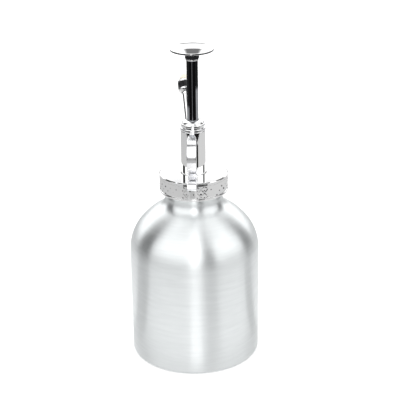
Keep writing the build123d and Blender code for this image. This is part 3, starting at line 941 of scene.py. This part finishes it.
@dataclass
class PumpHead:
    """The barrel, its gland nut, the finger hook and the return spring, in mm."""

    barrel: float = 7.0
    shoulder: float = 136.3
    hook_width: float = 5.2
    hook_thickness: float = 1.1
    hook_crown: float = 0.04
    hook_swing: float = -2.3  # degrees around the axis
    root_width: float = 2.3
    taper: tuple[float, float] = (12.0, 17.5)  # where the strip starts and ends to widen
    root_height: float = 130.0  # above which the strip narrows to its root
    travel: float = 30.0  # how far the plunger goes down

    def _barrel(self, builder: Builder) -> None:
        """Makes the barrel with its flange and boss.

        Args:
            builder: the workshop.
        """
        outline = [
            (6.0, 84.2), (self.barrel, 84.2, 0.2), (self.barrel, 107.85, 0.3),
            (15.2, 107.85, 0.2), (15.2, 109.7, 0.2), (self.barrel, 109.7, 0.2),
            (self.barrel, 118.0), (self.barrel, 128.0), (self.barrel, self.shoulder, 0.3),
            (5.7, self.shoulder), (5.7, 140.0, 0.2), (4.7, 140.0), (4.7, 134.4), (4.0, 134.4),
            (4.0, 134.0), (6.0, 134.0),
        ]
        boss = [
            (1.6, 14.0), (1.6, 20.4), (2.7, 20.4, 0.1), (2.7, 17.0), (3.4, 17.0, 0.15),
            (3.4, 13.0), (3.4, 9.5), (1.6, 9.5),
        ]
        meshes = [builder.turned(outline), builder.turned(boss, 96, Spout().frame())]
        tube = builder.piece("barrel_skin", meshes, Surface.PLATE)
        builder.fit(tube, Body.PUMP, Surface.PLATE, "pump_barrel")

    def _gland(self, builder: Builder) -> None:
        """Makes the stepped, domed nut.

        Args:
            builder: the workshop.
        """
        low = self.shoulder + 1.7
        outline = [
            (5.75, low), (6.35, low, 0.1), (6.35, low + 0.85, 0.15), (6.8, low + 1.05, 0.3),
            (6.8, low + 2.1, 0.4), (6.15, low + 2.4, 0.15), (6.1, low + 2.75, 0.25),
            (5.6, low + 3.4, 0.5), (4.5, low + 3.9, 0.5), (3.85, low + 4.15, 0.2),
            (3.4, low + 4.15, 0.1), (3.4, 140.05), (5.75, 140.05),
        ]
        builder.lathe("gland_dome", Body.PUMP, Surface.PLATE, outline, "gland_nut", crease=40)

    def _hook_path(self) -> list[tuple[float, float]]:
        """The centreline of the hook's strip.

        Returns:
            (distance along -Y, height) in mm.
        """
        path = [(6.5, 137.1), (8.0, 137.1), (10.0, 137.1), (12.5, 137.1)]
        path += arc((13.0, 126.5), 10.6, 90, -90, 56)
        path += [(12.6, 115.9), (12.1, 115.9)]
        path += arc((11.5, 114.35), 1.55, 90, 270, 20)
        path += [(12.1, 112.8), (14.0, 112.8), (16.5, 112.8), (19.0, 112.8)]
        path += arc((19.6, 102.8), 10.0, 90, 46, 18)
        return path

    def _hook_section(self) -> list[tuple[float, float]]:
        """The strip's section: flat inside, crowned outside, with rounded edges.

        Returns:
            (across X, outwards) in mm.
        """
        half, low, high = self.hook_width / 2, -self.hook_thickness / 2, self.hook_thickness / 2
        steps = 10
        crown = [
            (half * across, high + self.hook_crown * (1 - across**2))
            for across in (1 - 2 * i / steps for i in range(1, steps))
        ]
        under = [(-half, low, 0.2), (0, low), (half, low, 0.2)]
        corners = [*under, (half, high, 0.25), *crown, (-half, high, 0.25)]
        return soften(corners, 3)

    def _hook_share(self, away: float, height: float) -> float:
        """The strip's width at a place, as a share of its full width.

        Args:
            away: the distance from the axis.
            height: the height.

        Returns:
            The share.
        """
        start, end = self.taper
        if height < self.root_height:
            return 1.0
        root = self.root_width / self.hook_width
        return root + (1 - root) * min(max((away - start) / (end - start), 0.0), 1.0)

    def _hook(self, builder: Builder) -> None:
        """Makes the hook with its eye.

        Args:
            builder: the workshop.
        """
        strip = builder.swept(self._hook_path(), self._hook_section(), self._hook_share)
        eye = [
            (5.75, self.shoulder + 0.02), (7.15, self.shoulder + 0.02, 0.3),
            (7.15, self.shoulder + 1.65, 0.5), (5.75, self.shoulder + 1.65),
        ]
        hook = builder.piece("finger_strip", [strip, builder.turned(eye)], Surface.STRIP, crease=40)
        hook.data.transform(Matrix.Rotation(math.radians(self.hook_swing), 4, "Z"))
        builder.fit(hook, Body.PUMP, Surface.STRIP, "finger_hook")

    def _spring(self, builder: Builder) -> None:
        """Makes the return spring.

        Args:
            builder: the workshop.
        """
        coil = bmesh.new()
        coil.from_mesh(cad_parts["return_spring"].data)
        bmesh.ops.remove_doubles(coil, verts=coil.verts, dist=MERGE)
        wire = builder.piece("spring_coil", [coil], Surface.STEEL, crease=60)
        builder.fit(wire, Body.PUMP, Surface.STEEL, "return_spring")
        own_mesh(wire)

    def build(self, builder: Builder) -> None:
        """Makes the head's fixed pieces.

        Args:
            builder: the workshop.
        """
        self._barrel(builder)
        self._gland(builder)
        self._hook(builder)
        self._spring(builder)


@dataclass
class Plunger:
    """The rod with the disc for the thumb, in mm."""

    rod: float = 3.2
    disc: float = 12.0
    dome: float = 11.8  # radius of the disc's domed top
    rise: float = 1.03  # height of that dome
    top: float = 184.1

    def build(self, builder: Builder) -> None:
        """Makes the disc, its hub, the washer and the rod.

        Args:
            builder: the workshop.
        """
        edge, steps = self.dome, 24
        sphere = (edge**2 + self.rise**2) / (2 * self.rise)
        dome = [
            (r, self.top - sphere + math.sqrt(sphere**2 - r**2))
            for r in (edge * i / steps for i in range(steps))
        ]
        outline = [
            *dome, (edge, 183.07, 0.1), (self.disc, 182.95, 0.1), (self.disc, 182.05, 0.12),
            (11.75, 181.95, 0.1), (11.0, 182.15, 0.1), (8.0, 182.2), (3.9, 182.22),
            (2.05, 182.22), (2.05, 183.1), (0.0, 183.1),
        ]
        builder.lathe("thumb_plate", Body.PLUNGER, Surface.PLATE, outline, "thumb_disc", segments=160)
        hub = [
            (2.05, 177.35), (3.9, 177.35, 0.3), (3.9, 182.2, 0.2), (2.05, 182.2),
        ]
        builder.lathe("disc_hub", Body.PLUNGER, Surface.BLACK, hub, "button_hub", segments=96)
        ring = [(2.05, 176.52), (3.65, 176.52, 0.3), (3.65, 177.33, 0.3), (2.05, 177.33)]
        builder.lathe("hub_washer", Body.PLUNGER, Surface.PLATE, ring, "stem_washer", segments=96)
        bar = [
            (0.0, 143.0), (1.5, 143.0), (1.5, 133.95), (self.rod, 133.95, 0.2),
            (self.rod, 145.0), (self.rod, 155.0), (self.rod, 165.0), (self.rod, 176.5, 0.2),
            (2.0, 176.5), (2.0, 183.0, 0.2), (0.0, 183.0),
        ]
        builder.lathe("rod_skin", Body.PLUNGER, Surface.ROD, bar, "plunger_rod", segments=96)


# --- studio
@dataclass(frozen=True)
class Patch:
    """A part of the studio's surround, brighter or darker than the rest."""

    azimuth: float  # degrees, 0 in front, positive to the right
    half_width: float
    low: float  # elevation in degrees
    high: float
    value: float
    blur: float = 6.0


@dataclass(frozen=True)
class Sector:
    """A glowing flat part of a ring on the floor that only reflections see, in metres and degrees."""

    name: str
    inner: float
    outer: float
    start: float  # azimuth, 0 in front, positive to the right
    end: float
    tone: float
    height: float = 0.0004
    back: float = 0.0  # how far its middle lies behind the bottle's


# heights at which sectors lie over one another, how far some lie back, and their outer edge, in metres
LOW, MIDDLE, TOP = 0.0006, 0.0008, 0.0012
BACK, FAR = 0.075, 4.0


@dataclass
class Studio:
    """Floor, surround and camera."""

    base: float = 1.4  # strength of the surround
    diffuse_gain: float = 1.5  # how much stronger matt surfaces see it
    backdrop: float = 1.1  # how strong the camera sees it
    floor_half: float = 4.0
    lens: float = 103.07
    sensor: float = 36.0
    reach: float = 20.0  # how far the camera sees
    pitch: float = 22.685  # degrees down
    roll: float = 0.66
    eye: tuple[float, float, float] = (0.00349, -0.60798, 0.34737)
    patches: tuple[Patch, ...] = (
        Patch(180, 3.4, 22, 44, 0.2, 2.0),
        Patch(0, 190, -6, 2, 0.03),
        Patch(0, 62, 60, 73, 0.2, 8.0),
        Patch(-72, 26, 54, 61, 0.05, 3.0),
        Patch(70, 26, 54, 61, 0.05, 3.0),
        Patch(-102, 17, 2, 58, 0.04),
        Patch(114, 14, 2, 58, 0.15),
        Patch(27, 8, 30, 62, 0.65),
        Patch(26, 11, 2, 34, 0.25),
        Patch(-4.5, 5, -6, 30, 1.3, 2.0),
        Patch(1.5, 7, 3, 60, 2.4, 8.0),
    )
    sectors: tuple[Sector, ...] = (
        Sector("table_near", 0.03, 0.2, -180, 180, 0.95),
        Sector("table_foot", 0.03, 0.06, -180, 180, 0.75, LOW),
        Sector("shade_left", 0.05, 0.2, -110, -80, 0.68, MIDDLE),
        Sector("shade_front", 0.05, 0.2, 16, 36, 0.8, MIDDLE),
        Sector("shade_right", 0.05, 0.2, 88, 108, 0.66, MIDDLE),
        Sector("table_left", 0.2, 0.75, -180, 0, 0.6),
        Sector("table_right", 0.2, 0.75, 0, 180, 0.68),
        Sector("sheen_near", 0.05, 0.2, -6, 9, 1.15, TOP),
        Sector("hook_low", 0.2, 0.43, -12, 3, 0.5, TOP),
        Sector("bow_left", 0.283, 0.298, -34, -19, 0.03, TOP),
        Sector("bow_right", 0.283, 0.298, 10, 30, 0.03, TOP),
        Sector("foot", 0.285, 0.362, 30, 46, 0.02, TOP),
        Sector("edge_left", 0.43, FAR, -62, -8.5, 0.01, MIDDLE, BACK),
        Sector("strip_near", 0.43, 0.7, -8.5, -0.5, 0.35, MIDDLE, BACK),
        Sector("strip_far", 0.7, 1.3, -8.5, -0.5, 0.5, MIDDLE, BACK),
        Sector("strip_end", 1.3, FAR, -8.5, -0.5, 0.75, MIDDLE, BACK),
        Sector("edge_right", 0.43, FAR, -0.5, 62, 0.01, MIDDLE, BACK),
        Sector("end_right", 0.52, FAR, 62, 130, 0.03, MIDDLE),
        Sector("end_left", 0.46, FAR, -130, -62, 0.03, MIDDLE),
        Sector("back_right", 0.52, FAR, 130, 180, 0.12, MIDDLE),
        Sector("back_left", 0.46, FAR, -180, -130, 0.12, MIDDLE),
    )

    def _plain(self, name: str, grey: float, roughness: float, glow: float = 0.0) -> Material:
        """A plain material for the stage, without gloss.

        Args:
            name: its name.
            grey: its colour.
            roughness: its roughness.
            glow: the strength of its own light.

        Returns:
            The material.
        """
        material, sockets = new_material(name)
        sockets["Base Color"].default_value = (grey, grey, grey, 1.0)
        sockets["Roughness"].default_value = roughness
        sockets["Specular IOR Level"].default_value = 0.0
        sockets["Emission Color"].default_value = (1, 1, 1, 1)
        sockets["Emission Strength"].default_value = glow
        return material

    def _sheet(self, name: str, points: list, faces: list, material: Material) -> object:
        """A flat sheet.

        Args:
            name: its name.
            points: its points in metres.
            faces: its faces.
            material: its material.

        Returns:
            The object.
        """
        data = bpy.data.meshes.new(name)
        data.from_pydata(points, [], faces)
        data.materials.append(material)
        sheet = new_object(name, data)
        return sheet

    def _sector(self, sector: Sector) -> None:
        """Adds one sector, which glows with its own tone.

        Args:
            sector: the sector.
        """
        material = self._plain(sector.name, 0.0, 0.5, sector.tone)
        swing = sector.end - sector.start
        steps = math.ceil(swing / 3)
        turns = [math.radians(sector.start + swing * i / steps) for i in range(steps + 1)]
        points = [
            (r * math.sin(turn), sector.back - r * math.cos(turn), sector.height)
            for r in (sector.inner, sector.outer)
            for turn in turns
        ]
        row = steps + 1
        faces = [(i, i + 1, row + i + 1, row + i) for i in range(steps)]
        sheet = self._sheet(sector.name, points, faces, material)
        for ray in ("camera", "diffuse", "shadow", "transmission"):
            setattr(sheet, "visible_" + ray, False)

    def _window(self, wiring: Wiring, value: object, half: float, blur: float) -> Socket:
        """A soft mask around zero.

        Args:
            wiring: the world's nodes.
            value: the angle in degrees from the window's middle.
            half: half of its width.
            blur: width of its soft edge.

        Returns:
            1 inside and 0 outside.
        """
        sockets = {
            "Value": wiring.math("ABSOLUTE", value),
            "From Min": half - blur / 2,
            "From Max": half + blur / 2,
            "To Min": 1.0,
            "To Max": 0.0,
        }
        edge = wiring.add("ShaderNodeMapRange", sockets, interpolation_type="SMOOTHSTEP")
        return edge.outputs["Result"]

    def _world(self) -> None:
        """Lights the stage from its surround, which the camera sees as plain white."""
        world = bpy.data.worlds.new("surround")
        bpy.context.scene.world = world
        world.use_nodes = True
        background = world.node_tree.nodes["Background"]
        wiring = Wiring(world.node_tree)
        way = wiring.add("ShaderNodeSeparateXYZ", {0: wiring.add("ShaderNodeTexCoord").outputs["Generated"]})
        x, y, z = way.outputs
        degrees = 180 / math.pi
        around = wiring.times(wiring.math("ARCTAN2", x, wiring.times(y, -1.0)), degrees)
        rise = wiring.times(wiring.math("ARCSINE", z), degrees)
        level: object = self.base
        for patch in self.patches:
            turned = wiring.math("WRAP", wiring.math("SUBTRACT", around, patch.azimuth), 180.0, -180.0)
            lifted = wiring.math("SUBTRACT", rise, (patch.low + patch.high) / 2)
            aside = self._window(wiring, turned, patch.half_width, patch.blur)
            aloft = self._window(wiring, lifted, (patch.high - patch.low) / 2, patch.blur)
            step = wiring.math("SUBTRACT", patch.value, level)
            level = wiring.math("ADD", level, wiring.times(step, wiring.times(aside, aloft)))
        path = wiring.add("ShaderNodeLightPath").outputs
        lit = wiring.times(level, wiring.spread(path["Is Diffuse Ray"], 1.0, self.diffuse_gain))
        wiring.link(wiring.spread(path["Is Camera Ray"], lit, self.backdrop), background.inputs["Strength"])
        background.inputs["Color"].default_value = (1, 1, 1, 1)

    def _camera(self) -> None:
        """Adds the camera."""
        data = bpy.data.cameras.new("camera")
        data.lens, data.sensor_width, data.clip_end = self.lens, self.sensor, self.reach
        camera = new_object("camera", data)
        pitch, roll = math.radians(self.pitch), math.radians(self.roll)
        ahead = Vector((0, math.cos(pitch), -math.sin(pitch)))
        right = Vector((1, 0, 0))
        up = right.cross(ahead)
        across = right * math.cos(roll) - up * math.sin(roll)
        above = right * math.sin(roll) + up * math.cos(roll)
        turn = Matrix((across, above, -ahead)).transposed().to_4x4()
        camera.matrix_world = Matrix.Translation(self.eye) @ turn
        bpy.context.scene.camera = camera

    def build(self) -> None:
        """Sets the stage."""
        white = self._plain("floor_white", 0.92, 0.9)
        half = self.floor_half
        corners = [(-half, -half, 0), (half, -half, 0), (half, half, 0), (-half, half, 0)]
        self._sheet("floor", corners, [(0, 1, 2, 3)], white)
        for sector in self.sectors:
            self._sector(sector)
        self._world()
        self._camera()
        bpy.context.scene.view_settings.view_transform = "Standard"


def main() -> None:
    """Builds the mister and its stage."""
    logging.basicConfig(level=logging.INFO, format="%(name)s: %(message)s")
    builder = Builder()
    for assembly in (Bottle(), Collar(), PumpHead(), Spout(), Plunger()):
        LOG.info("building %s", type(assembly).__name__)
        assembly.build(builder)
    Studio().build()


if __name__ == "__main__":
    main()
